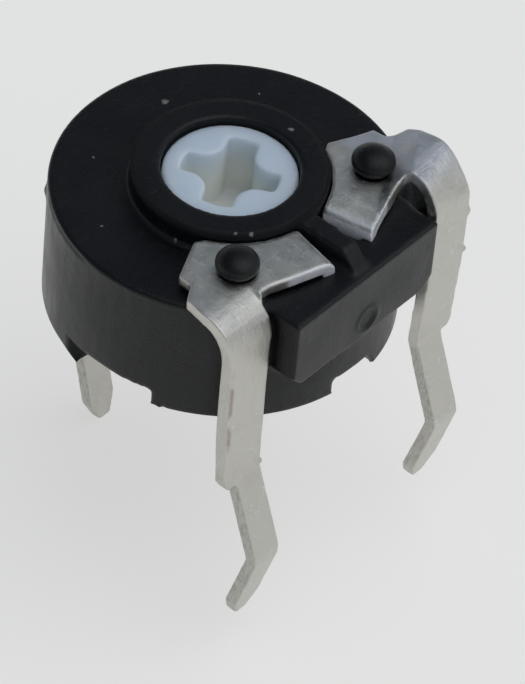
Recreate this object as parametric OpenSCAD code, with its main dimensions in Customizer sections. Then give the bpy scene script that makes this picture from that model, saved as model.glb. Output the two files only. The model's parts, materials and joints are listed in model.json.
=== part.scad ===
// Round carbon trimmer potentiometer for a printed circuit board.
// Millimetres. The origin is on the rotor's axis, on the plane of the board's top face, where the
// shoulders of the pins rest. +Z points to the adjusting side, and the end terminals are at -Y.

/* [Housing] */
// Diameter of the round body
body_d = 6.5; // [6.3:0.1:6.8]
// Height of the top face above the board
top_h = 3.66; // [3.5:0.02:3.9]
// Depth of the side wall at its notches
wall_depth = 2.28; // [2.2:0.02:2.4]
// How far the feet stand below the notches
foot_depth = 0.36; // [0.2:0.02:0.5]
// Thickness of the top wall
top_wall = 0.5; // [0.4:0.05:0.6]
// Thickness of the side wall
side_wall = 0.45; // [0.4:0.05:0.5]
// Outer diameter of the ring round the rotor
ring_d = 3.6; // [3.5:0.05:3.7]
// Height of that ring above the top face
ring_h = 0.48; // [0.4:0.01:0.5]
// Width of the flat block between the legs
block_w = 3.8; // [3.6:0.05:3.9]
// Height of that block
block_h = 1.52; // [1.3:0.02:1.6]
// Distance from the axis to the flat face of the block
block_reach = 3.3; // [3.27:0.01:3.35]

/* [Rotor] */
// Diameter of the rotor's head
head_d = 2.46; // [2.3:0.02:2.5]
// How far the head lies below the top of the ring
head_recess = 0.14; // [0.1:0.01:0.3]
// Radial running clearance round the head and the spindle
clearance = 0.03; // [0.02:0.005:0.05]
// Width of the long pair of arms of the cross recess
slot_w = 0.57; // [0.5:0.01:0.6]
// Width of the crossing pair of arms
cross_w = 0.48; // [0.4:0.01:0.56]
// Reach of the arms from the axis
arm_reach = 0.9; // [0.8:0.01:0.98]
// Depth of the cross recess
recess_depth = 1.22; // [0.9:0.01:1.25]
// Radius that rounds the inner corners of the cross
corner_r = 0.4; // [0.3:0.01:0.42]
// Turn of the rotor from the middle of its travel
rest_turn = 24.5; // [0:0.5:60]

/* [Terminals] */
// Thickness of the sheet metal
sheet = 0.25; // [0.22:0.01:0.3]
// Width of a leg above the board
leg_w = 0.95; // [0.9:0.01:1]
// Width of a pin below the board
pin_w = 0.66; // [0.6:0.01:0.75]
// Distance between the inner edges of the two end legs
legs_apart = 4.1; // [4.06:0.02:4.2]
// Distance from the axis to the front of the left leg
left_reach = 2.85; // [2.8:0.01:2.95]
// Distance from the axis to the front of the right leg, which is sprung outwards
right_reach = 3.17; // [3:0.01:3.25]
// Height of the arch in the right terminal's neck
right_arch = 0.28; // [0:0.01:0.35]
// How far the right pin has been pulled up by that arch
right_lift = 0.24; // [0:0.01:0.3]
// Length of the left pin below the board
pin_len = 3.45; // [3.2:0.05:3.7]
// Length of the centre pin below the board
centre_pin_len = 4.1; // [3.5:0.05:4.2]
// Diameter of the staked heads of the studs
stud_head_d = 0.82; // [0.7:0.01:0.9]

/* [Hidden] */
$fn = 96;
eps = 0.01;

body_r = body_d / 2;
ring_top = top_h + ring_h;
rim_z = top_h - wall_depth;
foot_z = rim_z - foot_depth;
ceiling_z = top_h - top_wall;
bore_r = head_d / 2 + clearance;

// Levels inside, from the board up
centre_z = top_h - 2.25;
board_z = centre_z + sheet;
board_t = 0.45;
board_top = board_z + board_t;
print_t = 0.03;
base_t = 0.24;
base_z = centre_z - base_t;
chamber_r = body_r - side_wall - 0.2;
seat_r = body_r - side_wall;
seat_gap = 0.01;
board_hole_r = 1.5;

// Side wall notches: [direction, width, side that slants], degrees from -Y towards -X
notches = [[84.3, 26, 1], [2.5, 15.6, -1], [-84.3, 26, -1], [180, 22, 1]];
foot_slant = 0.66;

// End terminals
plate_z = top_h + 0.09;
stud_x = 1.85;
stud_y = -1.77;
stud_shank_r = 0.29;
stud_seat_r = 0.56;
stud_head_z = plate_z + sheet + 0.21;
stud_head_h = 0.26;
hole_r = 0.31;
leg_x = legs_apart / 2;
tab_fold_x = 1.05;
neck_x = leg_x + leg_w;
bulge_z = top_h - 1.5;
plate_gap = 0.03;

// Contact fingers: distances of the left and the right one from the plane x = 0, and what they share
finger_x = [0.4, 0.68];
finger_y = -2.28;
finger_w = 0.5;
tab_turn = 12;

// Ridge between the tabs
ridge_w = 0.38;
ridge_h = 0.42;

// Arch of a sprung neck: it starts at a line in front of the stud, turned from the X axis
arch_start = [1.9, -2.1];
arch_turn = 31;
arch_run = 0.4;
arch_r = 0.3;

// Distance by which the sprung leg's foot stands back
right_lean = 0.1;

// Kink of a pin: [distance out from the leg, height above the board], and the radii of its two bends
kink = [[0, 0.06], [0.62, -1.66], [0.12, -pin_len]];
kink_r = [0.3, 0.4];

// Rotor and its stops
flange_r = 1.92;
flange_t = 0.5;
flange_top = ceiling_z - 0.04;
spindle_r = 0.55;
head_top = ring_top - head_recess;
lug_r = 2.34;
lug_half = 12;
stop_half = 50.2;
stop_w = 7;
stop_r = [2.02, 2.62];

// Track, in degrees each side of the middle
track_r = [1.72, 2.42];
track_half = 112;
pad_end = 172;

// Centre terminal: its contact ring, the distance from the axis to its leg, the way its leg leaves the body,
// how much lower its kink is than the others', and the distance by which its tip stands out from its leg
centre_ring = [spindle_r + 0.15, 1.4];
centre_reach = 2.56;
exit_y = 2.3;
exit_gap = 0.06;
centre_drop = 0.1;
centre_tip_out = 0.04;

// Points of an arc of radius r that rounds corner b of the path a-b-c.
function unit(v) = v / norm(v);
function arc_corner(a, b, c, r, steps = 8) =
    let(u = unit(a - b), v = unit(c - b), half = acos(u * v) / 2, centre = b + unit(u + v) * r / sin(half),
        s = b + u * r / tan(half) - centre, e = b + v * r / tan(half) - centre,
        turn = atan2(s[0] * e[1] - s[1] * e[0], s * e))
    [for (i = [0 : steps]) let(w = turn * i / steps)
        centre + [s[0] * cos(w) - s[1] * sin(w), s[0] * sin(w) + s[1] * cos(w)]];

// The same, or the bare corner where the path runs straight on.
function rounded_corner(a, b, c, r) = norm(unit(a - b) + unit(c - b)) < 0.02 ? [b] : arc_corner(a, b, c, r);

// A path of straight runs with each inner corner rounded to its radius.
function rounded_path(p, r) = concat([p[0]],
    [for (i = [1 : len(p) - 2]) each rounded_corner(p[i - 1], p[i], p[i + 1], r[i - 1])], [p[len(p) - 1]]);

// The path moved sideways by h, with mitred corners.
function shifted(p, h) = [for (i = [0 : len(p) - 1])
    let(d0 = unit(p[max(i, 1)] - p[max(i, 1) - 1]), d1 = unit(p[min(i + 1, len(p) - 1)] - p[min(i, len(p) - 2)]),
        n = unit([-d0[1] - d1[1], d0[0] + d1[0]]))
    p[i] + n * h / (n * [-d0[1], d0[0]])];

function reversed(p) = [for (i = [len(p) - 1 : -1 : 0]) p[i]];
function polar(r, a) = [r * cos(a), r * sin(a)];

// Sheet metal that follows a rounded path.
module bent_sheet(p, r, t) {
    q = rounded_path(p, r);
    polygon(concat(shifted(q, t / 2), reversed(shifted(q, -t / 2))));
}

// Ring sector from angle a0 to a1.
module sector(r_in, r_out, a0, a1) {
    polygon(concat([for (i = [0 : 32]) polar(r_out, a0 + (a1 - a0) * i / 32)],
        [for (i = [32 : -1 : 0]) polar(r_in, a0 + (a1 - a0) * i / 32)]));
}

// Shape drawn in the Y-Z plane and pushed along X from x0 to x1.
module along_x(x0, x1) {
    translate([x0, 0, 0]) rotate([90, 0, 90]) linear_extrude(x1 - x0) children();
}

// Shape drawn in the X-Z plane and pushed along Y from y0 to y1.
module along_y(y0, y1) {
    translate([0, y1, 0]) rotate([90, 0, 0]) linear_extrude(y1 - y0) children();
}

module box(low, high) {
    translate(low) cube(high - low);
}

// Place of a contact finger on the +X side, turned as its tab is.
module at_finger(x) {
    translate([x, finger_y, 0]) rotate([0, 0, tab_turn]) children();
}

// ---- Housing ----

// Stud that carries a terminal's plate, with its end melted into a ball-like head.
module stud(side) {
    head = [for (a = [-45 : 9 : 90]) [stud_head_d / 2 * cos(a), stud_head_h * sin(a)]];
    translate([side * stud_x, stud_y, 0]) {
        translate([0, 0, ceiling_z + 0.1]) cylinder(r = stud_shank_r, h = stud_head_z - ceiling_z - 0.1, $fn = 48);
        translate([0, 0, top_h - eps]) cylinder(r = stud_seat_r, h = plate_z - top_h + eps, $fn = 48);
        translate([0, 0, stud_head_z]) rotate_extrude($fn = 64)
            polygon(concat([[0, head[0][1]]], [for (i = [0 : len(head) - 2]) head[i]], [[0, stud_head_h]]));
    }
}

// Flat block that closes the front of the body between the legs, with its lower corners cut.
module block() {
    w = block_w / 2;
    cut = 0.22;
    along_y(-block_reach, -1.9) polygon([[-w, top_h + 0.03], [w, top_h + 0.03], [w, top_h - block_h + cut],
        [w - cut, top_h - block_h], [cut - w, top_h - block_h], [-w, top_h - block_h + cut]]);
}

// Ridge between the two contact tabs, from the ring to the block's front edge.
module ridge() {
    inside = 0.3 - ring_d / 2;
    end_y = 0.14 - block_reach;
    along_x(-ridge_w / 2, ridge_w / 2) polygon([[inside, top_h], [inside, top_h + ridge_h],
        [end_y + 0.36, top_h + ridge_h - 0.02], [end_y, top_h + 0.03], [end_y, top_h]]);
}

// Web that fills the corner between the block and the round wall, under the right terminal's neck.
module web() {
    w = block_w / 2;
    top = top_h - 0.05;
    low = top_h - block_h;
    along_x(w - 0.1, w + 0.7) polygon([[-2.1, top], [-2.74, top], [-2.86, top - 0.26], [-2.88, low + 0.3],
        [-2.6, low], [-2.1, low]]);
}

// Notch between two feet, with one slanted side.
module notch(direction, width, side) {
    translate([0, 0, foot_z - 1]) linear_extrude(rim_z - foot_z + 1)
        sector(seat_r - 0.3, body_r + 1, 270 - direction - width / 2, 270 - direction + width / 2);
    rotate([0, 0, -direction - side * width / 2]) along_y(-body_r - 1, 0.3 - seat_r)
        polygon([[side * 0.2, rim_z], [side * 0.2, rim_z - 1], [-side * foot_slant, rim_z - 1],
            [-side * 0.04, rim_z]]);
}

module housing() color([0.09, 0.095, 0.105]) {
    slot_gap = 0.05;
    difference() {
        union() {
            translate([0, 0, foot_z]) cylinder(r = body_r, h = top_h - foot_z);
            translate([0, 0, top_h - eps]) cylinder(d = ring_d, h = ring_h + eps);
            block();
            web();
            ridge();
            stud(-1);
            stud(1);
        }
        // Chamber for the rotor's flange, and the wider seat for the track board and the base
        translate([0, 0, board_top]) cylinder(r = chamber_r, h = ceiling_z - board_top);
        translate([0, 0, foot_z - 1]) cylinder(r = seat_r, h = board_top - foot_z + 1);
        // Bore for the rotor's head
        translate([0, 0, ceiling_z - 1]) cylinder(r = bore_r, h = 3);
        for (n = notches) notch(n[0], n[1], n[2]);
        // Way out for the centre terminal
        box([-leg_w / 2 - exit_gap, exit_y, foot_z - 1], [leg_w / 2 + exit_gap, body_r + 1, board_z + 0.02]);
        // Slots for the contact fingers
        for (side = [0, 1]) mirror([1 - side, 0, 0]) at_finger(finger_x[side])
            box([-sheet / 2 - slot_gap, -finger_w / 2 - slot_gap, ceiling_z - 1],
                [sheet / 2 + slot_gap, finger_w / 2 + slot_gap, top_h + 1]);
    }
    // Stops for the rotor's lug, under the ceiling
    for (side = [-1, 1])
        translate([0, 0, flange_top - flange_t]) linear_extrude(ceiling_z - flange_top + flange_t)
            sector(stop_r[0], stop_r[1], 270 + side * (stop_half - stop_w / 2) - stop_w / 2,
                270 + side * (stop_half - stop_w / 2) + stop_w / 2);
}

// ---- Base: closes the body from below and carries the rotor's foot ----
module base() color([0.10, 0.10, 0.11]) {
    way_w = leg_w + 2 * exit_gap;
    difference() {
        union() {
            translate([0, 0, base_z]) cylinder(r = seat_r - seat_gap, h = base_t);
            translate([0, 0, centre_z]) difference() {
                cylinder(r = seat_r - seat_gap, h = sheet);
                translate([0, 0, -1]) cylinder(r = board_hole_r, h = 2);
            }
        }
        translate([0, 0, base_z - 1]) cylinder(r = spindle_r + clearance, h = 3);
        box([-way_w / 2, 0, centre_z], [way_w / 2, body_r, board_z + 1]);
        box([-way_w / 2, exit_y + exit_gap, base_z - 1], [way_w / 2, body_r, board_z + 1]);
    }
}

// ---- Rotor ----

// Cross with rounded inner corners, cut off at the arms' reach.
module cross_recess() {
    p = cross_w / 2 + corner_r;
    q = slot_w / 2 + corner_r;
    intersection() {
        circle(r = arm_reach, $fn = 64);
        difference() {
            union() {
                square([3, slot_w], center = true);
                square([cross_w, 3], center = true);
                square([2 * p, 2 * q], center = true);
            }
            for (x = [-p, p], y = [-q, q]) translate([x, y]) circle(r = corner_r, $fn = 64);
        }
    }
}

module rotor() color([0.90, 0.92, 0.93]) {
    bevel = 0.03;
    rotate([0, 0, rest_turn]) difference() {
        union() {
            translate([0, 0, flange_top - eps]) cylinder(d = head_d, h = head_top - bevel - flange_top + eps);
            translate([0, 0, head_top - bevel]) cylinder(d1 = head_d, d2 = head_d - 2 * bevel, h = bevel);
            translate([0, 0, flange_top - flange_t]) cylinder(r = flange_r, h = flange_t);
            translate([0, 0, base_z]) cylinder(r = spindle_r, h = flange_top - base_z);
            translate([0, 0, flange_top - flange_t]) linear_extrude(flange_t)
                sector(flange_r - 0.3, lug_r, 90 - lug_half, 90 + lug_half);
        }
        translate([0, 0, head_top - recess_depth]) linear_extrude(2) cross_recess();
        // Driver slot in the foot of the spindle
        box([-1, -0.12, base_z - 1], [1, 0.12, base_z + 0.25]);
    }
}

// ---- Wiper spring: ring under the flange, with a leaf that bears on the track ----
module wiper_spring() color([0.80, 0.62, 0.32]) {
    t = 0.1;
    top = flange_top - flange_t;
    run = (track_r[0] + track_r[1]) / 2;
    foot = board_top + print_t;
    rotate([0, 0, rest_turn]) {
        translate([0, 0, top - t]) difference() {
            cylinder(r = 1.15, h = t);
            translate([0, 0, -1]) cylinder(r = spindle_r, h = 2);
        }
        // Leaf that slopes down to the track and turns up at its end
        along_x(-0.3, 0.3) bent_sheet([[0.9, top - t / 2], [1.25, top - t / 2], [run, foot + t / 2],
            [run + 0.25, foot + 0.17]], [0.1, 0.12], t);
        // Tail that slopes down to the centre terminal's ring
        along_x(-0.3, 0.3) bent_sheet([[-0.62, top - t / 2], [-0.95, top - t / 2], [-1.22, board_z + t / 2],
            [-1.32, board_z + 0.16]], [0.06, 0.06], t);
    }
}

// ---- Track board and its prints ----
module track_board() color([0.45, 0.30, 0.17]) {
    translate([0, 0, board_z]) difference() {
        cylinder(r = seat_r - 2 * seat_gap, h = board_t);
        translate([0, 0, -1]) cylinder(r = board_hole_r, h = 3);
    }
}

module carbon_track() color([0.10, 0.10, 0.10]) {
    translate([0, 0, board_top]) linear_extrude(print_t)
        sector(track_r[0], track_r[1], 90 - track_half, 90 + track_half);
}

module track_pad(side) {
    translate([0, 0, board_top]) linear_extrude(print_t) mirror([side < 0 ? 0 : 1, 0, 0])
        sector(track_r[0], stop_r[1] - 0.06, 90 + track_half, 90 + pad_end);
}

module left_pad() color([0.75, 0.76, 0.77]) track_pad(-1);
module right_pad() color([0.75, 0.76, 0.77]) track_pad(1);

// ---- End terminals ----

// Outline of the flat plate, from the contact tab's fold along the ring to the ear, the notch and the neck.
module plate_outline() {
    difference() {
        polygon([[tab_fold_x, -1.4], [1.55, -0.88], [1.81, -0.73], [2.66, -1.12], [2.65, -1.4],
            [neck_x, -1.62], [neck_x, -2.14], [leg_x, -2.62], [leg_x, -2.52], [1.98, -2.4], [1.75, -2.42],
            [tab_fold_x, -2.642]]);
        circle(r = ring_d / 2 + plate_gap);
    }
}

// Outline of the contact tab, which narrows from the fold to the finger.
module tab_outline() {
    difference() {
        polygon([[tab_fold_x + 0.2, -1.4], [0.1, -1.83], [0.3, -2.88], [1.75, -2.42]]);
        circle(r = ring_d / 2 + plate_gap);
    }
}

// The side of the arch's line that lies more than a distance in front of it.
module arch_side(distance) {
    translate(arch_start) rotate(arch_turn) translate([-5, -10 - distance]) square(10);
}

// Flat sheet at height mid that rises to the arch in front of the arch's line.
module arched_sheet(mid, arch) {
    translate([arch_start[0], arch_start[1], 0]) rotate([0, 0, arch_turn]) along_x(-5, 5)
        bent_sheet([[5, mid], [0, mid], [-arch_run, mid + arch], [-3, mid + arch]], [arch_r, arch_r], sheet);
}

// Front view of a leg and its pin, from the plate down, with the shoulder and the narrowed tip.
module leg_outline(inner, width, shoulder, low, step) {
    outer = inner + width;
    polygon([[inner, top_h + 2], [inner, low + 0.4], [inner + 0.2, low], [outer - 0.2, low], [outer, low + 0.45],
        [outer, step], [outer + shoulder - 0.08, step], [outer + shoulder, step + 0.14],
        [outer + shoulder, top_h + 2]]);
}

// An end terminal on the +X side. reach is the distance to the front of the leg, bend the radius between
// neck and leg, arch the height by which the neck rises first, lift the height by which the pin is pulled up,
// lean the distance by which the leg's foot stands back, and finger the distance of the contact finger from
// the plane x = 0, towards which the tab falls by slope.
module end_terminal(reach, bend, arch, lift, lean, finger, slope) {
    mid = plate_z + sheet / 2;
    y = -reach + sheet / 2;
    foot_y = y + lean;
    run = arch > 0 ? arch_run : 0.06;
    difference() {
        union() {
            // Plate, which rises at the arch's line and ends where the neck begins
            intersection() {
                arched_sheet(mid, arch);
                translate([0, 0, plate_z - 1]) linear_extrude(3) difference() {
                    plate_outline();
                    intersection() {
                        arch_side(run + 0.05);
                        translate([leg_x, -4]) square([2, 4]);
                    }
                }
            }
            // Contact tab, which slopes down and turns into the finger
            intersection() {
                at_finger(finger) along_y(-2, 2) bent_sheet([[1.2, mid], [0.5, mid], [0, mid - slope], [0, top_h]],
                    [0.3, 0.13 + slope / 3], sheet);
                translate([0, 0, -5]) linear_extrude(20) tab_outline();
            }
            at_finger(finger)
                box([-sheet / 2, -finger_w / 2, board_top + print_t], [sheet / 2, finger_w / 2, top_h + 0.04]);
            // Neck, leg and pin
            intersection() {
                along_x(0, 5) bent_sheet([[-1.2, mid + arch], [y, mid + arch], [y, bulge_z],
                    [foot_y, kink[0][1] + lift], [foot_y - kink[1][0], kink[1][1] + lift],
                    [foot_y - kink[2][0], kink[2][1] + lift]], [bend, 0.5, kink_r[0], kink_r[1]], sheet);
                along_y(-6, 0) leg_outline(leg_x, pin_w, leg_w - pin_w, kink[2][1] + lift, lift);
                translate([0, 0, -5]) linear_extrude(20) arch_side(run - 0.02);
            }
        }
        translate([stud_x, stud_y, 0]) cylinder(r = hole_r, h = top_h + 3, $fn = 48);
        // Slanted side of the notch
        translate([0, 0, plate_z - 1]) linear_extrude(3)
            polygon([[2.65, -0.9], [2.65, -1.4], [neck_x, -1.62], [neck_x + 1, -1.62], [neck_x + 1, -0.9]]);
    }
}

module left_terminal() color([0.72, 0.72, 0.71]) mirror([1, 0, 0])
    end_terminal(left_reach, 0.7, 0, 0, 0, finger_x[0], 0);

// Its leg is sprung outwards, so the neck arches and the pin sits a little higher.
module right_terminal() color([0.72, 0.72, 0.71])
    end_terminal(right_reach, 0.7, right_arch, right_lift, right_lean, finger_x[1], 0.06);

// ---- Centre terminal: contact ring, strip under the track board, leg and pin ----
module centre_terminal() color([0.70, 0.70, 0.69]) {
    mid = centre_z + sheet / 2;
    y = centre_reach;
    translate([0, 0, centre_z]) difference() {
        cylinder(r = centre_ring[1], h = sheet);
        translate([0, 0, -1]) cylinder(r = centre_ring[0], h = 2);
    }
    intersection() {
        along_x(-3, 3) bent_sheet([[1.1, mid], [y, mid], [y, kink[0][1]],
            [y + kink[1][0], kink[1][1] - centre_drop], [y + centre_tip_out, -centre_pin_len]],
            [0.24, kink_r[0], kink_r[1]], sheet);
        along_y(0, 6) union() {
            leg_outline(-pin_w / 2, pin_w, 0, -centre_pin_len, 0);
            translate([-leg_w / 2, 0]) square([leg_w, top_h]);
        }
    }
}

housing();
base();
rotor();
wiper_spring();
track_board();
carbon_track();
left_pad();
right_pad();
left_terminal();
right_terminal();
centre_terminal();
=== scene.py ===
"""Looks of a round carbon trimmer potentiometer: moulded black body, white rotor, tinned terminals.

Sizes and places are in millimetres unless a name says otherwise, and MM turns them into metres. The rotor
turns about Z, the end terminals stand at -Y, and angles on the round wall run from -Y towards -X.
"""
import json
import math

import bmesh
import bpy
import numpy as np
from mathutils import Matrix, Vector

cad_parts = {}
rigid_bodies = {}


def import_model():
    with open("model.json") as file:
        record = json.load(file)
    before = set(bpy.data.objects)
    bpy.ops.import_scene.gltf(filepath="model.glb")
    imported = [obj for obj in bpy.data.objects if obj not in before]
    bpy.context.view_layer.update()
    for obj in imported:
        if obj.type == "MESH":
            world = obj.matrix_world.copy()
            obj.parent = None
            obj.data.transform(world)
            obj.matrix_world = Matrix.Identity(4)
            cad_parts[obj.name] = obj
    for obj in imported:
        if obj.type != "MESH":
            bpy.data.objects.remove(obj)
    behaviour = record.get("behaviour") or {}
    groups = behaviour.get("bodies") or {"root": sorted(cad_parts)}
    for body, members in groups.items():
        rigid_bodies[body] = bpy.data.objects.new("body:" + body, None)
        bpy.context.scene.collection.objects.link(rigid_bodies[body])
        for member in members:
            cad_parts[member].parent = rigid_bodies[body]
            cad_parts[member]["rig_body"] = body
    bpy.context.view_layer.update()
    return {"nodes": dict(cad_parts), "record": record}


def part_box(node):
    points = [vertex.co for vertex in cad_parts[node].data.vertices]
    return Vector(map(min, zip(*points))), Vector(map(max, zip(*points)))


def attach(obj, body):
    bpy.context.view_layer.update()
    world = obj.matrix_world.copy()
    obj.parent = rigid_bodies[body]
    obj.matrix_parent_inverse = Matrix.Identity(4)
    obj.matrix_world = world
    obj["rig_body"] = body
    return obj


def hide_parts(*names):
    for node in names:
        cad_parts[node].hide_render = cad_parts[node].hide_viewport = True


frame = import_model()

MM = 0.001

# ---- Places, taken from the frame where it has them ----
node_box = {name: tuple(np.array(corner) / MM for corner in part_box(name)) for name in frame["nodes"]}
PIN_TIP_Z = min(low[2] for low, high in node_box.values())
BODY_R = node_box["housing"][1][0]
BLOCK_FRONT = -node_box["housing"][0][1]
FOOT_Z = node_box["housing"][0][2]
FOOT_DEPTH = 0.36
RIM_Z = FOOT_Z + FOOT_DEPTH
STUD_RISE = 0.81
TOP_Z = node_box["housing"][1][2] - STUD_RISE
RING_R = 1.8
RING_H = 0.48
RING_TOP_Z = TOP_Z + RING_H
LEG_OUTER_X = node_box["right_terminal"][1][0]
LEG_W = 0.95
# Heights between which the legs bend into the plates
BEND_LOW_Z = 3.1
BEND_HIGH_Z = 3.5
# The right terminal's neck arches in front of a line through this place, turned by so many degrees
ARCH_START = (1.9, -2.1)
ARCH_TURN = 31


# ---- Camera ----
VIEW_AZIMUTH = -52.85
VIEW_ELEVATION = 44.87
VIEW_ROLL = 5.5
VIEW_DISTANCE = 101.56
VIEW_AIM = Vector((-1.02, -1.855, 1.718))
VIEW_LENS = 299
SENSOR_WIDTH = 36
NEAREST_SEEN = 1


def add_camera():
    """Camera whose line of sight passes through VIEW_AIM, rolled about that line."""
    turn = Matrix.Rotation(math.radians(VIEW_AZIMUTH), 4, "Z")
    tilt = Matrix.Rotation(math.radians(90 - VIEW_ELEVATION), 4, "X")
    roll = Matrix.Rotation(math.radians(VIEW_ROLL), 4, "Z")
    back_off = Matrix.Translation((0, 0, VIEW_DISTANCE * MM))
    data = bpy.data.cameras.new("camera")
    data.lens = VIEW_LENS
    data.sensor_width = SENSOR_WIDTH
    data.clip_start = NEAREST_SEEN * MM
    camera = bpy.data.objects.new("camera", data)
    bpy.context.scene.collection.objects.link(camera)
    camera.matrix_world = Matrix.Translation(VIEW_AIM * MM) @ turn @ tilt @ roll @ back_off
    bpy.context.scene.camera = camera


# ---- Node helpers ----
def feed(tree, socket, value):
    """Link an input socket to an output socket, or set its value."""
    if isinstance(value, bpy.types.NodeSocket):
        tree.links.new(value, socket)
    else:
        socket.default_value = value


def add_node(tree, kind, inputs=None, **settings):
    """A node with its settings and its inputs."""
    node = tree.nodes.new(kind)
    for name, value in settings.items():
        setattr(node, name, value)
    for name, value in (inputs or {}).items():
        feed(tree, node.inputs[name], value)
    return node


def maths(tree, operation, *values):
    """One step of arithmetic."""
    return add_node(tree, "ShaderNodeMath", dict(enumerate(values)), operation=operation).outputs[0]


def product(tree, first, *others):
    """Several values multiplied together."""
    for other in others:
        first = maths(tree, "MULTIPLY", first, other)
    return first


def mixture(tree, total, *parts):
    """A value plus others. Each part is a value and the share of it that is added."""
    for value, share in parts:
        total = maths(tree, "ADD", total, maths(tree, "MULTIPLY", value, share))
    return total


def remap(tree, value, low, high, to_low=0.0, to_high=1.0):
    """A smooth step from to_low, where the value is low, to to_high, where it is high."""
    inputs = {"Value": value, "From Min": low, "From Max": high, "To Min": to_low, "To Max": to_high}
    return add_node(tree, "ShaderNodeMapRange", inputs, interpolation_type="SMOOTHSTEP").outputs[0]


def blend_colour(tree, factor, first, second):
    """The first colour where the factor is 0, and the second where it is 1."""
    node = add_node(tree, "ShaderNodeMix", data_type="RGBA")
    feed(tree, node.inputs[0], factor)
    feed(tree, node.inputs[6], first)
    feed(tree, node.inputs[7], second)
    return node.outputs[2]


def noise(tree, vector, scale, detail=4.0, roughness=0.5):
    """Cloudy values round 0.5. The scale is in clouds a millimetre."""
    inputs = {"Vector": vector, "Scale": scale, "Detail": detail, "Roughness": roughness}
    return add_node(tree, "ShaderNodeTexNoise", inputs).outputs["Fac"]


def stretched(tree, vector, scale, turn=(0, 0, 0)):
    """A vector scaled along each axis and turned, in radians."""
    inputs = {"Vector": vector, "Scale": scale, "Rotation": turn}
    return add_node(tree, "ShaderNodeMapping", inputs).outputs[0]


def millimetres(tree):
    """The object's own coordinates in millimetres."""
    place = add_node(tree, "ShaderNodeTexCoord").outputs["Object"]
    return stretched(tree, place, (1 / MM, 1 / MM, 1 / MM))


def parted(tree, vector):
    """The X, Y and Z of a vector."""
    return add_node(tree, "ShaderNodeSeparateXYZ", {"Vector": vector}).outputs


def distance_from(tree, value, middle):
    """How far a value is from a middle, either way."""
    return maths(tree, "ABSOLUTE", maths(tree, "SUBTRACT", value, middle))


# ---- Node groups shared by the finishes ----
FLOAT = "NodeSocketFloat"
VECTOR = "NodeSocketVector"


def new_group(name, inputs):
    """An empty node group that puts out a mask. Each input is its name, kind and value."""
    group = bpy.data.node_groups.new(name, "ShaderNodeTree")
    for label, kind, value in inputs:
        socket = group.interface.new_socket(label, in_out="INPUT", socket_type=kind)
        socket.default_value = value
    group.interface.new_socket("Mask", in_out="OUTPUT", socket_type=FLOAT)
    entry = group.nodes.new("NodeGroupInput")
    result = group.nodes.new("NodeGroupOutput")
    return group, entry.outputs, result.inputs


def edge_group():
    """Mask that is 1 on sharp outer edges: where a rounded normal leaves the true one."""
    inputs = [("Width", FLOAT, 0.05 * MM), ("Start", FLOAT, 0.02), ("Full", FLOAT, 0.25)]
    group, given, result = new_group("edges_worn_and_highlit", inputs)
    rounded = add_node(group, "ShaderNodeBevel", {"Radius": given["Width"]}, samples=8).outputs[0]
    true = add_node(group, "ShaderNodeNewGeometry").outputs["Normal"]
    likeness = add_node(group, "ShaderNodeVectorMath", {0: rounded, 1: true}, operation="DOT_PRODUCT")
    parting = maths(group, "SUBTRACT", 1.0, likeness.outputs["Value"])
    limits = {"Value": parting, "From Min": given["Start"], "From Max": given["Full"]}
    group.links.new(add_node(group, "ShaderNodeMapRange", limits).outputs[0], result["Mask"])
    return group


def fleck_group():
    """Sparse small specks: the middles of a chosen share of the cells in a warped Voronoi pattern."""
    inputs = [("Vector", VECTOR, (0, 0, 0)), ("Scale", FLOAT, 3.0), ("Share", FLOAT, 0.1),
              ("Size", FLOAT, 0.12)]
    group, given, result = new_group("flecks", inputs)
    warp = add_node(group, "ShaderNodeTexNoise", {"Vector": given["Vector"], "Scale": 9.0}).outputs["Color"]
    bent = add_node(group, "ShaderNodeVectorMath", {0: warp, "Scale": 0.12}, operation="SCALE")
    ends = {0: given["Vector"], 1: bent.outputs["Vector"]}
    place = add_node(group, "ShaderNodeVectorMath", ends, operation="ADD").outputs["Vector"]
    cells = add_node(group, "ShaderNodeTexVoronoi", {"Vector": place, "Scale": given["Scale"]})
    lot = add_node(group, "ShaderNodeSeparateColor", {"Color": cells.outputs["Color"]}).outputs[0]
    chosen = maths(group, "LESS_THAN", lot, given["Share"])
    inside = maths(group, "LESS_THAN", cells.outputs["Distance"], given["Size"])
    group.links.new(maths(group, "MULTIPLY", chosen, inside), result["Mask"])
    return group


def hairline_group():
    """Fine scratches: narrow bands of stretched noise at three angles, each only in patches of its own."""
    inputs = [("Vector", VECTOR, (0, 0, 0)), ("Scale", FLOAT, 1.0), ("Width", FLOAT, 0.01)]
    group, given, result = new_group("hairlines", inputs)
    lines = []
    for angle, reach in ((25, 0.58), (-62, 0.62), (83, 0.6)):
        along = stretched(group, given["Vector"], (0.4, 5.0, 2.0), (0, 0.3, math.radians(angle)))
        field = noise(group, along, given["Scale"], 1)
        line = maths(group, "LESS_THAN", distance_from(group, field, 0.5), given["Width"])
        patch = noise(group, given["Vector"], 1.3 + reach, 2)
        lines.append(product(group, line, maths(group, "GREATER_THAN", patch, reach)))
    either = maths(group, "MAXIMUM", maths(group, "MAXIMUM", lines[0], lines[1]), lines[2])
    group.links.new(either, result["Mask"])
    return group


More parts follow.
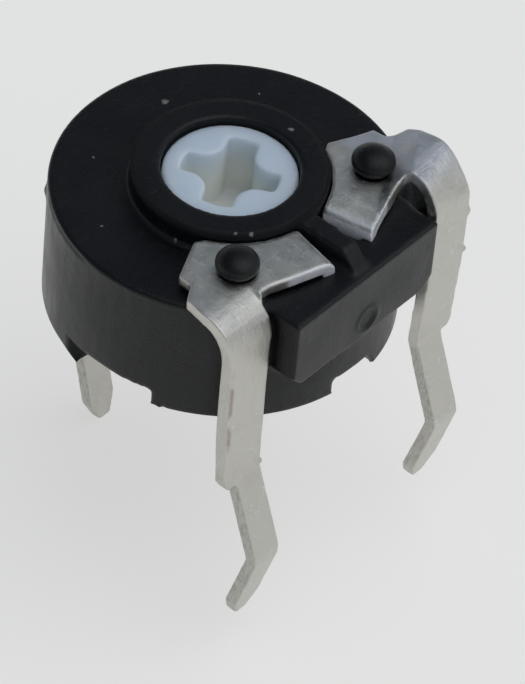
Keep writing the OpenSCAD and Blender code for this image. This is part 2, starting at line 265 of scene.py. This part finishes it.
def spot_group():
    """One small ragged spot round a centre: 1 inside, and 0 beyond an edge that wanders about its size."""
    inputs = [("Vector", VECTOR, (0, 0, 0)), ("Centre", VECTOR, (0, 0, 0)), ("Size", FLOAT, 0.05)]
    group, given, result = new_group("spot", inputs)
    ends = {0: given["Vector"], 1: given["Centre"]}
    distance = add_node(group, "ShaderNodeVectorMath", ends, operation="DISTANCE").outputs["Value"]
    edge = product(group, given["Size"], noise(group, given["Vector"], 18, 2), 2.0)
    inner = product(group, edge, 0.6)
    limits = {"Value": distance, "From Min": edge, "From Max": inner}
    group.links.new(add_node(group, "ShaderNodeMapRange", limits).outputs[0], result["Mask"])
    return group


EDGE_WEAR_AND_HIGHLIGHT = edge_group()
SPOT = spot_group()
FLECKS = fleck_group()
HAIRLINES = hairline_group()


def use_group(tree, group, **inputs):
    """A group's mask, with its inputs."""
    node = tree.nodes.new("ShaderNodeGroup")
    node.node_tree = group
    for name, value in inputs.items():
        feed(tree, node.inputs[name], value)
    return node.outputs["Mask"]


# ---- Finishes ----
def new_material(name, **fixed):
    """A material with its Principled shader and the values that are the same all over."""
    material = bpy.data.materials.new(name)
    material.use_nodes = True
    tree = material.node_tree
    shader = tree.nodes["Principled BSDF"]
    for label, value in fixed.items():
        shader.inputs[label.replace("_", " ")].default_value = value
    return material, tree, shader


def set_bump(tree, shader, height, distance):
    """Bumps as high as the distance where the height changes by 1."""
    bump = add_node(tree, "ShaderNodeBump", {"Height": height, "Distance": distance * MM})
    tree.links.new(bump.outputs[0], shader.inputs["Normal"])


# Black moulding
BLACK = ((0.0016, 0.0021, 0.0030, 1), (0.0030, 0.0036, 0.0046, 1))
RUBBED_BLACK = (0.05, 0.055, 0.06, 1)
SCRATCHED_BLACK = (0.06, 0.065, 0.07, 1)
DUST = (0.2, 0.2, 0.19, 1)
# Specks of dust that lie on the moulding: place and size
SPECKS = [((0.81, 2.26, TOP_Z), 0.075), ((2.2, 1.2, TOP_Z), 0.03), ((-1.2, 2.2, TOP_Z), 0.03),
          ((-2.4, 0.9, TOP_Z), 0.035), ((-1.8, -0.3, TOP_Z + 0.06), 0.04), ((1.48, -0.14, RING_TOP_Z), 0.05),
          ((-1.24, -1.21, RING_TOP_Z - 0.03), 0.045), ((-1.05, -1.4, RING_TOP_Z - 0.03), 0.055)]
# Where the foot at the left broke off in the mould, in degrees on the round wall: start, full, fading, end
TORN_FOOT = (92, 95, 104, 109)


def torn_foot(tree, place):
    """Mask of the torn foot: below the rim, between two angles on the round wall."""
    x, y, z = parted(tree, place)
    angle = maths(tree, "ARCTAN2", maths(tree, "MULTIPLY", x, -1.0), maths(tree, "MULTIPLY", y, -1.0))
    start, full, fading, end = (math.radians(degrees) for degrees in TORN_FOOT)
    return product(tree, remap(tree, z, RIM_Z + 0.03, RIM_Z - 0.01), remap(tree, angle, start, full),
                   remap(tree, angle, end, fading))


def ring_edge(tree, place):
    """Mask of the ring's outer edge: near its radius and its top."""
    flat = stretched(tree, place, (1, 1, 0))
    radius = add_node(tree, "ShaderNodeVectorMath", {0: flat}, operation="LENGTH").outputs["Value"]
    near = remap(tree, distance_from(tree, radius, RING_R), 0.1, 0.05)
    return product(tree, near, remap(tree, parted(tree, place)["Z"], RING_TOP_Z - 0.15, RING_TOP_Z - 0.08))


def black_plastic():
    """Moulded black plastic: fine grain, cloudy sheen, faint rubbed edges, hairlines and specks of dust."""
    material, tree, shader = new_material("black_plastic", IOR=1.37)
    place = millimetres(tree)
    cloud = noise(tree, place, 1.1, 3)
    grain = noise(tree, place, 24, 5, 0.65)
    flow = noise(tree, stretched(tree, place, (3, 3, 0.8)), 2.2, 4, 0.6)
    edge = use_group(tree, EDGE_WEAR_AND_HIGHLIGHT, Width=0.05 * MM, Start=0.05, Full=0.4)
    hairline = use_group(tree, HAIRLINES, Vector=place, Scale=1.6, Width=0.004)
    dust = use_group(tree, FLECKS, Vector=place, Scale=2.6, Share=0.04, Size=0.05)
    for centre, size in SPECKS:
        dust = maths(tree, "MAXIMUM", dust, use_group(tree, SPOT, Vector=place, Centre=centre, Size=size))
    colour = blend_colour(tree, cloud, *BLACK)
    colour = blend_colour(tree, product(tree, edge, 0.03), colour, RUBBED_BLACK)
    colour = blend_colour(tree, product(tree, hairline, 0.2), colour, SCRATCHED_BLACK)
    colour = blend_colour(tree, dust, colour, DUST)
    tree.links.new(colour, shader.inputs["Base Color"])
    dull_edge = maths(tree, "MAXIMUM", ring_edge(tree, place), edge)
    rough = mixture(tree, remap(tree, cloud, 0.3, 0.7, 0.24, 0.34), (flow, 0.06), (dust, 0.4),
                    (torn_foot(tree, place), 0.6), (dull_edge, 0.5))
    tree.links.new(rough, shader.inputs["Roughness"])
    height = mixture(tree, grain, (cloud, 1.5), (flow, 0.8), (dust, 2.0), (hairline, -0.8))
    set_bump(tree, shader, height, 0.009)
    return material


# White rotor with a cool cast. Down in the cross it turns warmer and paler: a painted recess tone that stands
# in for the light inside the cross, not a colour of the plastic
WHITE = ((0.63, 0.74, 0.88, 1), (0.68, 0.79, 0.92, 1))
PAINTED_RECESS_TONE = (0.86, 0.87, 0.80, 1)


def white_plastic():
    """Translucent white plastic with a cool cast: light soaks into it a little. Its colour down in the cross
    is a painted recess tone.
    """
    material, tree, shader = new_material("white_plastic", IOR=1.49, Subsurface_Weight=0.8,
                                          Subsurface_Scale=0.5 * MM, Subsurface_Radius=(1.0, 0.97, 0.85))
    place = millimetres(tree)
    cloud = noise(tree, place, 1.6, 3)
    # Painted recess tone: warmer and paler deeper in the cross, standing in for the light inside it
    painted_recess = remap(tree, parted(tree, place)["Z"], RING_TOP_Z + 0.08, RING_TOP_Z - 1.02)
    colour = blend_colour(tree, painted_recess, blend_colour(tree, cloud, *WHITE), PAINTED_RECESS_TONE)
    tree.links.new(colour, shader.inputs["Base Color"])
    tree.links.new(remap(tree, cloud, 0.3, 0.7, 0.3, 0.42), shader.inputs["Roughness"])
    set_bump(tree, shader, noise(tree, place, 14, 4), 0.004)
    return material


# Tinned sheet
TIN = ((0.53, 0.515, 0.475, 1), (0.68, 0.665, 0.62, 1))
TARNISH = (0.50, 0.47, 0.41, 1)
BRIGHT_TIN = (0.8, 0.8, 0.8, 1)
SHEARED_SIDE = (0.33, 0.325, 0.29, 1)
WORN_LEG = (0.26, 0.26, 0.23, 1)
# Lighter plate edges: burnished wear, and partly a painted edge highlight
WORN_PLATE_AND_HIGHLIGHT = (0.76, 0.76, 0.75, 1)
SCUFFED = (0.82, 0.83, 0.86, 1)
FLUX = (0.24, 0.16, 0.12, 1)
# Painted highlight laid on the tab folds
PAINTED_FOLD_HIGHLIGHT = (0.82, 0.83, 0.87, 1)
# Painted sheen laid on the right terminal's neck
PAINTED_NECK_SHEEN = (0.50, 0.52, 0.57, 1)


def flux_line(tree, place):
    """Mask of a broken line of flux beside the left leg's outer edge."""
    spread = parted(tree, place)
    near = remap(tree, distance_from(tree, spread["X"], 0.07 - LEG_OUTER_X), 0.075, 0.01)
    broken = remap(tree, noise(tree, place, 3, 3), 0.36, 0.56)
    from_foot = remap(tree, spread["Z"], 0.85, 1.15)
    to_bend = remap(tree, spread["Z"], BEND_LOW_Z, BEND_LOW_Z - 0.7)
    return product(tree, near, broken, from_foot, to_bend)


def fold_highlight_mask(tree, place, facing):
    """Mask of the contact tabs' folds, where a painted highlight is laid.

    It is 1 where the sheet faces neither up nor down, near the middle of the body and high up. The sides
    of the sheet are left out, but for those below the plate.
    """
    spread = parted(tree, place)
    turned = parted(tree, facing)
    bent = product(tree, remap(tree, turned["Z"], 0.98, 0.75), remap(tree, turned["Z"], -0.6, -0.2))
    tab = remap(tree, maths(tree, "ABSOLUTE", spread["X"]), 1.45, 1.25)
    high_up = remap(tree, spread["Z"], 3.2, 3.3)
    not_side = remap(tree, maths(tree, "ABSOLUTE", turned["X"]), 0.8, 0.5)
    below_plate = remap(tree, spread["Z"], 3.88, 3.8)
    return product(tree, bent, tab, high_up, maths(tree, "MAXIMUM", not_side, below_plate))


def neck_sheen_mask(tree, place):
    """Mask of the right terminal's neck, beside its stud, where a painted sheen is laid."""
    spread = parted(tree, place)
    return product(tree, remap(tree, spread["X"], 1.75, 2.15), remap(tree, spread["Y"], -3.0, -2.6))


def tinned_metal():
    """Tin-plated sheet: satin faces with rolling streaks, rough sheared sides, stains and scratches; painted
    highlights on the tab folds, a painted sheen on the right neck, and lighter plate edges that are partly a
    painted highlight.
    """
    material, tree, shader = new_material("tinned_metal")
    place = millimetres(tree)
    facing = add_node(tree, "ShaderNodeTexCoord").outputs["Normal"]
    z = parted(tree, place)["Z"]
    on_plate = remap(tree, z, BEND_LOW_Z, BEND_HIGH_Z)
    sideways = maths(tree, "ABSOLUTE", parted(tree, facing)["X"])
    on_leg = remap(tree, z, BEND_HIGH_Z, BEND_HIGH_Z - 0.3)
    towards_pin = remap(tree, z, 0.4, 0.0, 0.3, 1.0)
    sheared = product(tree, remap(tree, sideways, 0.55, 0.8), on_leg, towards_pin)

    streaks = noise(tree, stretched(tree, place, (14, 1.2, 1.2)), 1.5, 4, 0.6)
    mottle = noise(tree, place, 3.2, 6, 0.65)
    blotch = noise(tree, place, 1.1, 3, 0.5)
    pits = noise(tree, place, 22, 5, 0.75)
    torn = noise(tree, stretched(tree, place, (1, 1, 0.35)), 16, 5, 0.8)
    edge = use_group(tree, EDGE_WEAR_AND_HIGHLIGHT, Width=0.03 * MM, Start=0.03, Full=0.3)
    hairline = use_group(tree, HAIRLINES, Vector=place, Scale=2.2, Width=0.007)
    turned = stretched(tree, place, (2, 2, 2), (0.4, 1.1, 0.2))
    fine_line = use_group(tree, HAIRLINES, Vector=turned, Scale=1.7, Width=0.009)
    lines = maths(tree, "MAXIMUM", hairline, fine_line)
    scuffs = noise(tree, stretched(tree, place, (5, 2, 2), (0, 0, 0.6)), 2.4, 6, 0.7)
    scuff = product(tree, remap(tree, scuffs, 0.52, 0.66), on_plate)
    fold = fold_highlight_mask(tree, place, facing)
    neck = product(tree, neck_sheen_mask(tree, place), on_plate, remap(tree, mottle, 0.35, 0.6, 0.5, 0.9))

    colour = blend_colour(tree, mottle, *TIN)
    colour = blend_colour(tree, remap(tree, blotch, 0.55, 0.75, 0.0, 0.35), colour, TARNISH)
    colour = blend_colour(tree, product(tree, remap(tree, pits, 0.56, 0.72), 0.55), colour, BRIGHT_TIN)
    rough_cut = product(tree, sheared, remap(tree, torn, 0.36, 0.56, 0.6, 0.0))
    colour = blend_colour(tree, rough_cut, colour, SHEARED_SIDE)
    # Edge colour: darker wear on the legs; on the plate lighter burnished wear that is partly a painted edge
    # highlight
    rubbed_and_highlit = blend_colour(tree, on_plate, WORN_LEG, WORN_PLATE_AND_HIGHLIGHT)
    colour = blend_colour(tree, product(tree, edge, remap(tree, torn, 0.4, 0.6, 0.55, 0.15)), colour, rubbed_and_highlit)
    colour = blend_colour(tree, product(tree, scuff, 0.3), colour, SCUFFED)
    colour = blend_colour(tree, product(tree, lines, 0.5), colour, BRIGHT_TIN)
    colour = blend_colour(tree, product(tree, flux_line(tree, place), 0.55), colour, FLUX)
    # Painted highlight: the tab folds turn pale, standing in for the bright reflection they catch
    colour = blend_colour(tree, product(tree, fold, 0.9), colour, PAINTED_FOLD_HIGHLIGHT)
    # Painted sheen: the right neck turns pale bluish, standing in for the light it reflects
    colour = blend_colour(tree, neck, colour, PAINTED_NECK_SHEEN)
    tree.links.new(colour, shader.inputs["Base Color"])

    # Less metallic where the painted fold highlight and the painted neck sheen lie, so they show as pale
    # colour
    painted_light_share = maths(tree, "MAXIMUM", fold, product(tree, neck, 0.8))
    tree.links.new(remap(tree, painted_light_share, 0.0, 1.0, 1.0, 0.3), shader.inputs["Metallic"])
    satin = remap(tree, mottle, 0.3, 0.7, 0.26, 0.42)
    rough = mixture(tree, satin, (streaks, 0.08), (sheared, 0.1), (scuff, 0.12))
    tree.links.new(rough, shader.inputs["Roughness"])
    height = mixture(tree, streaks, (pits, 1.3), (product(tree, torn, sheared), 3.0), (lines, -0.8))
    set_bump(tree, shader, height, 0.007)
    return material


def inner_material(name, dark, light, metallic, roughness, scale):
    """A plain inner finish with cloudy colour and grain."""
    material, tree, shader = new_material(name, Metallic=metallic)
    place = millimetres(tree)
    cloud = noise(tree, place, scale, 5, 0.6)
    tree.links.new(blend_colour(tree, cloud, dark, light), shader.inputs["Base Color"])
    rough = remap(tree, cloud, 0.2, 0.8, roughness - 0.06, roughness + 0.06)
    tree.links.new(rough, shader.inputs["Roughness"])
    set_bump(tree, shader, cloud, 0.004)
    return material


BRONZE = ((0.55, 0.36, 0.16, 1), (0.72, 0.5, 0.25, 1))
LAMINATE = ((0.16, 0.08, 0.035, 1), (0.24, 0.13, 0.06, 1))
CARBON = ((0.012, 0.012, 0.013, 1), (0.03, 0.03, 0.03, 1))
SILVER = ((0.5, 0.5, 0.5, 1), (0.68, 0.68, 0.67, 1))
FINISHES = {
    "black_plastic": black_plastic(),
    "white_plastic": white_plastic(),
    "tinned_metal": tinned_metal(),
    "spring_bronze": inner_material("spring_bronze", *BRONZE, metallic=1.0, roughness=0.3, scale=4),
    "laminate": inner_material("laminate", *LAMINATE, metallic=0.0, roughness=0.6, scale=9),
    "carbon_print": inner_material("carbon_print", *CARBON, metallic=0.0, roughness=0.55, scale=20),
    "silver_print": inner_material("silver_print", *SILVER, metallic=0.8, roughness=0.45, scale=16),
}
SLOT_OF = {part["node"]: part["material_slot"] for part in frame["record"]["subparts"]}


# ---- Pieces ----
def smoothstep(value, low, high):
    """0 below low, 1 above high, and a smooth rise between."""
    share = np.clip((value - low) / (high - low), 0, 1)
    return share * share * (3 - 2 * share)


def span(value, start, full, fading, end):
    """1 between full and fading, 0 before start and past end, and smooth steps between."""
    return smoothstep(value, start, full) * (1 - smoothstep(value, fading, end))


def hill(value, middle, reach):
    """A bell curve of height 1 round a middle."""
    return np.exp(-(((value - middle) / reach) ** 2))


def mound(places, centre, size):
    """A round hill of height 1: it falls off with the distance from its centre as a bell curve."""
    return np.exp(-(((places - centre) / size) ** 2).sum(axis=1))


def ripples(places, wave, seed):
    """Gentle unevenness from -1 to 1: the mean of six plane waves of mixed directions and lengths."""
    rng = np.random.default_rng(seed)
    directions = rng.normal(size=(6, 3))
    directions /= np.linalg.norm(directions, axis=1)[:, None]
    lengths = wave * rng.uniform(0.7, 1.5, 6)
    phases = rng.uniform(0, 2 * np.pi, 6)
    return np.sin(places @ (directions * 2 * np.pi / lengths[:, None]).T + phases).mean(axis=1)


def merged_copy(name):
    """A CAD node's mesh in millimetres, with its doubles merged."""
    shape = bmesh.new()
    shape.from_mesh(frame["nodes"][name].data)
    bmesh.ops.scale(shape, vec=(1 / MM, 1 / MM, 1 / MM), verts=shape.verts)
    bmesh.ops.remove_doubles(shape, verts=shape.verts, dist=0.0005)
    mesh = bpy.data.meshes.new(name + "_draft")
    shape.to_mesh(mesh)
    shape.free()
    return mesh


def finished_skin(name, cell, passes):
    """A CAD node's skin, rebuilt on a grid of cells and evened out by passes, in millimetres."""
    draft = bpy.data.objects.new(name + "_draft", merged_copy(name))
    bpy.context.scene.collection.objects.link(draft)
    skin = draft.modifiers.new("skin", "REMESH")
    skin.mode = "VOXEL"
    skin.voxel_size = cell
    skin.use_smooth_shade = True
    even = draft.modifiers.new("even", "SMOOTH")
    even.factor = 0.5
    even.iterations = passes
    shown = draft.evaluated_get(bpy.context.evaluated_depsgraph_get())
    mesh = bpy.data.meshes.new_from_object(shown)
    bpy.data.objects.remove(draft)
    mesh.name = name + "_finished"
    return mesh


def add_finished(name, cell, passes, move):
    """Piece that stands for a CAD node, with rounded edges and blended corners.

    Move takes the skin's points and their outward directions, both as arrays, and gives the points' places.
    """
    mesh = finished_skin(name, cell, passes)
    places = np.empty(3 * len(mesh.vertices))
    outward = np.empty(3 * len(mesh.vertices))
    mesh.vertices.foreach_get("co", places)
    mesh.vertices.foreach_get("normal", outward)
    places = move(places.reshape(-1, 3), outward.reshape(-1, 3))
    mesh.vertices.foreach_set("co", (places * MM).ravel())
    mesh.update()
    mesh.materials.clear()
    mesh.materials.append(FINISHES[SLOT_OF[name]])
    piece = bpy.data.objects.new(name + "_finished", mesh)
    bpy.context.scene.collection.objects.link(piece)
    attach(piece, frame["nodes"][name]["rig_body"])
    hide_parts(name)


# Gate mark on the block: its centre's X and Z, its ring's radius and rise, and its disc's depth
GATE_X, GATE_Z = 0.08, 2.54
GATE_R = 0.27
GATE_RISE = 0.022
GATE_DEPTH = 0.03
# Angles of small marks on the round wall, and how far each stands out or in
NUB_ANGLE = 140
BURR_ANGLE = 68.5
NICK_ANGLE = 67
MARK_HEIGHT = 0.05
# Groove under the upper edge: where it starts, is full, fades and ends, its depth and how far below the top
GROOVE_SPAN = (96, 106, 128, 138)
GROOVE_DEPTH = 0.035
GROOVE_BELOW = 0.09
# Hanging corner of the torn foot: where it starts, is full, fades and ends, and how far it hangs
CORNER_SPAN = (90, 94, 98, 112)
CORNER_DROP = 0.1
# How high the slight waves of the body, the rotor and the sheet are
BODY_WAVES = 0.006
ROTOR_WAVES = 0.004
SHEET_WAVES = 0.006
FINE_WAVES = 0.002
# Past this angle the upper edge runs clear of the block
BLOCK_ANGLE = 62
# Radius of the round wall's upper and lower edges
EDGE_R = 0.07


def around(degrees, height):
    """A place on the round wall."""
    angle = math.radians(degrees)
    return np.array((-BODY_R * math.sin(angle), -BODY_R * math.cos(angle), height))


def true_edge(places, height, way, from_angle):
    """The round wall's edge at a height as a quarter round of EDGE_R, for angles past from_angle.

    The edge looks up where way is 1 and down where it is -1. Points beyond the arc's centre, both outwards
    and that way, go straight from the centre onto the arc.
    """
    centre = BODY_R - EDGE_R
    out = np.hypot(*places.T[:2]) - centre
    over = way * (places[:, 2] - height) + EDGE_R
    angle = np.degrees(np.arctan2(np.abs(places[:, 0]), -places[:, 1]))
    on_edge = (out > 0) & (over > 0) & (angle > from_angle)
    share = EDGE_R / np.hypot(out, over)
    moved = places.copy()
    moved[on_edge, :2] *= ((centre + out * share) / (centre + out))[on_edge, None]
    moved[on_edge, 2] = (height + way * (over * share - EDGE_R))[on_edge]
    return moved


def move_housing(places, outward):
    """Marks of the mould on the body: gate mark, nub, burr, nick, groove, hanging corner and slight waves.

    Each mark pushes the points along their outward direction by its depth times bell curves or smooth steps.
    The gate mark is a raised ring round a sunk disc. The groove runs under the upper edge at the left.
    The corner of the torn foot goes down by a share that grows below the rim.
    """
    places = true_edge(places, TOP_Z, 1, BLOCK_ANGLE)
    places = true_edge(places, FOOT_Z, -1, 0)
    x, y, z = places.T
    angle = np.degrees(np.arctan2(-x, -y))
    push = BODY_WAVES * ripples(places, 1.6, 4)
    off_gate = np.hypot(x - GATE_X, z - GATE_Z)
    on_block = smoothstep(-y, BLOCK_FRONT - 0.1, BLOCK_FRONT - 0.04)
    push += GATE_RISE * on_block * hill(off_gate, GATE_R, 0.05)
    push -= GATE_DEPTH * on_block * (1 - smoothstep(off_gate, 0.16, 0.24))
    push += MARK_HEIGHT * mound(places, around(NUB_ANGLE, TOP_Z - 0.4), (0.1, 0.1, 0.13))
    push += MARK_HEIGHT * mound(places, around(BURR_ANGLE, FOOT_Z), (0.035, 0.035, 0.05))
    push -= MARK_HEIGHT * mound(places, around(NICK_ANGLE, FOOT_Z), (0.03, 0.03, 0.05))
    at_wall = np.hypot(x, y) > BODY_R - 0.2
    push -= GROOVE_DEPTH * at_wall * span(angle, *GROOVE_SPAN) * hill(z, TOP_Z - GROOVE_BELOW, 0.035)
    corner = span(angle, *CORNER_SPAN) * smoothstep(-z, -RIM_Z, -FOOT_Z)
    moved = places + outward * push[:, None]
    moved[:, 2] -= CORNER_DROP * corner
    return moved


def move_rotor(places, outward):
    """Slight shrinkage waves of the moulding, along the outward direction."""
    return places + outward * (ROTOR_WAVES * ripples(places, 1.1, 9))[:, None]


def sheet_waves(places, seed):
    """Uneven faces of bent sheet: long waves, and finer and shorter ones on top of them."""
    return SHEET_WAVES * ripples(places, 0.9, seed) + FINE_WAVES * ripples(places, 0.22, seed + 1)


def move_left(places, outward):
    """Bent metal: a leg whose outer edge stands further back, a neck that narrows, uneven faces and a burr.

    The leg's shift grows from its inner edge to its outer one, and fades above the bend and at the foot. The
    neck moves sideways by a share that goes from right to left across it.
    """
    x, y, z = places.T
    leg_inner_x = -(LEG_OUTER_X - LEG_W + 0.03)
    across = np.clip((leg_inner_x - x) / LEG_W, 0, 1)
    along_leg = smoothstep(z, -0.6, 1.9) * (1 - smoothstep(z, 3.25, 3.95)) * (y < -2.0)
    neck = smoothstep(z, 2.9, 3.7) * smoothstep(-y, 1.6, 2.1) * smoothstep(-x, 1.1, 1.95)
    moved = places.copy()
    moved[:, 0] += neck * (0.06 - 0.13 * smoothstep(-x, 2.1, 3.0))
    moved[:, 1] += (0.02 + 0.09 * across) * along_leg
    push = sheet_waves(places, 12) + 0.05 * mound(places, (leg_inner_x, -2.85, 0.16), (0.07, 0.3, 0.05))
    return moved + outward * push[:, None]


def move_right(places, outward):
    """Bent metal: an arched neck with eased creases, a leaning tab fold, uneven faces and burrs on the leg.

    The neck rises by bell curves of two distances: how far a point is in front of the arch's line, and its Y.
    Each curve has its share across the neck. The fold leans forward by a share of its depth below the plate.
    """
    x, y, z = places.T
    turn = math.radians(ARCH_TURN)
    ahead = (x - ARCH_START[0]) * math.sin(turn) - (y - ARCH_START[1]) * math.cos(turn)
    by_stud = 1 - smoothstep(x, 1.7, 2.1)
    inner = (1 - by_stud) * (1 - smoothstep(x, 2.0, 2.9))
    outer = smoothstep(x, 2.1, 3.0)
    rise = 0.05 * inner * hill(y, -2.85, 0.25)
    rise += 0.06 * smoothstep(x, 1.95, 2.4) * hill(ahead, -0.18, 0.34)
    rise += outer * (0.12 * hill(y, -2.4, 0.42) - 0.06 * hill(y, -2.95, 0.25))
    rise -= 0.1 * by_stud * hill(ahead, 0.3, 0.18)
    fold = smoothstep(-x, -1.3, -0.95) * smoothstep(3.86 - z, 0.0, 0.25)
    moved = places.copy()
    moved[:, 2] += smoothstep(z, 3.55, 3.85) * rise
    moved[:, 1] -= 0.04 * fold
    push = 0.008 * ripples(places, 0.9, 21) + 0.003 * ripples(places, 0.3, 22)
    push += 0.06 * mound(places, (LEG_OUTER_X, -3.1, 2.2), (0.08, 0.2, 0.06))
    push += 0.05 * mound(places, (LEG_OUTER_X, -3.1, 3.15), (0.06, 0.2, 0.1))
    return moved + outward * push[:, None]


def move_centre(places, outward):
    """Bent metal: slightly uneven faces."""
    return places + outward * sheet_waves(places, 31)[:, None]


def keep_node(name):
    """A CAD node that stays, with its finish."""
    node = frame["nodes"][name]
    node.data.materials.clear()
    node.data.materials.append(FINISHES[SLOT_OF[name]])


# ---- Floor, light and surroundings ----
FLOOR_HALF = 1000
FLOOR_GREY = (0.46, 0.452, 0.435, 1)
FLOOR_GLOW = (1.0, 1.0, 0.975, 1)
FLOOR_LIFT = 0.52


def add_floor():
    """Wide pale floor at the tip of the longest pin. Camera, mirror and transmitted rays see it brighter."""
    half = FLOOR_HALF * MM
    corners = [(-half, -half, 0), (half, -half, 0), (half, half, 0), (-half, half, 0)]
    mesh = bpy.data.meshes.new("floor")
    mesh.from_pydata(corners, [], [(0, 1, 2, 3)])
    mesh.transform(Matrix.Translation((0, 0, PIN_TIP_Z * MM)))
    floor = bpy.data.objects.new("floor", mesh)
    bpy.context.scene.collection.objects.link(floor)
    material, tree, shader = new_material("floor", Roughness=1.0, Specular_IOR_Level=0.0,
                                          Base_Color=FLOOR_GREY, Emission_Color=FLOOR_GLOW)
    rays = add_node(tree, "ShaderNodeLightPath").outputs
    seen = maths(tree, "MAXIMUM", rays["Is Camera Ray"], rays["Is Glossy Ray"])
    seen = maths(tree, "MAXIMUM", seen, rays["Is Transmission Ray"])
    tree.links.new(product(tree, seen, FLOOR_LIFT), shader.inputs["Emission Strength"])
    mesh.materials.append(material)


# The light's direction, and how far from it, in degrees, it starts to fade and is gone
LIGHT_FROM = (0.17, -0.46, 0.87)
LIGHT_INNER = 14
LIGHT_OUTER = 53
LIGHT = (1.22, 1.26, 1.32, 1)
DOME = (0.112, 0.145, 0.182, 1)
HORIZON = (0.46, 0.47, 0.48, 1)
# Height on the dome, as a share of its radius, at which the horizon's paleness has gone
HORIZON_TOP = 0.64
BACKDROP = (0.75, 0.75, 0.74, 1)


def add_surroundings():
    """Dim cool dome with a broad soft light overhead. The camera sees a pale surround in its place."""
    world = bpy.data.worlds.new("room")
    bpy.context.scene.world = world
    world.use_nodes = True
    tree = world.node_tree
    room = tree.nodes["Background"]
    direction = add_node(tree, "ShaderNodeTexCoord").outputs["Generated"]
    towards = tuple(Vector(LIGHT_FROM).normalized())
    nearness = add_node(tree, "ShaderNodeVectorMath", {0: direction, 1: towards}, operation="DOT_PRODUCT")
    gone, full = math.cos(math.radians(LIGHT_OUTER)), math.cos(math.radians(LIGHT_INNER))
    lit = remap(tree, nearness.outputs["Value"], gone, full)
    upward = remap(tree, parted(tree, direction)["Z"], 0.0, HORIZON_TOP)
    colour = blend_colour(tree, lit, blend_colour(tree, upward, HORIZON, DOME), LIGHT)
    tree.links.new(colour, room.inputs["Color"])
    pale = add_node(tree, "ShaderNodeBackground", {"Color": BACKDROP, "Strength": 1.0})
    rays = add_node(tree, "ShaderNodeLightPath").outputs
    shown = {0: rays["Is Camera Ray"], 1: room.outputs[0], 2: pale.outputs[0]}
    both = add_node(tree, "ShaderNodeMixShader", shown)
    tree.links.new(both.outputs[0], tree.nodes["World Output"].inputs["Surface"])


# ---- Scene ----
add_camera()
add_floor()
add_surroundings()

# Grid cells and passes: mouldings have softer edges than sheet metal
BODY_CELL, BODY_PASSES = 0.0452, 5
ROTOR_CELL, ROTOR_PASSES = 0.034, 5
SHEET_CELL, SHEET_PASSES = 0.026, 11
add_finished("housing", BODY_CELL, BODY_PASSES, move_housing)
add_finished("rotor", ROTOR_CELL, ROTOR_PASSES, move_rotor)
for terminal, move_terminal in (("left", move_left), ("right", move_right), ("centre", move_centre)):
    add_finished(terminal + "_terminal", SHEET_CELL, SHEET_PASSES, move_terminal)
for inner in ("base", "wiper_spring", "track_board", "carbon_track", "left_pad", "right_pad"):
    keep_node(inner)

bpy.context.scene.view_settings.view_transform = "Standard"
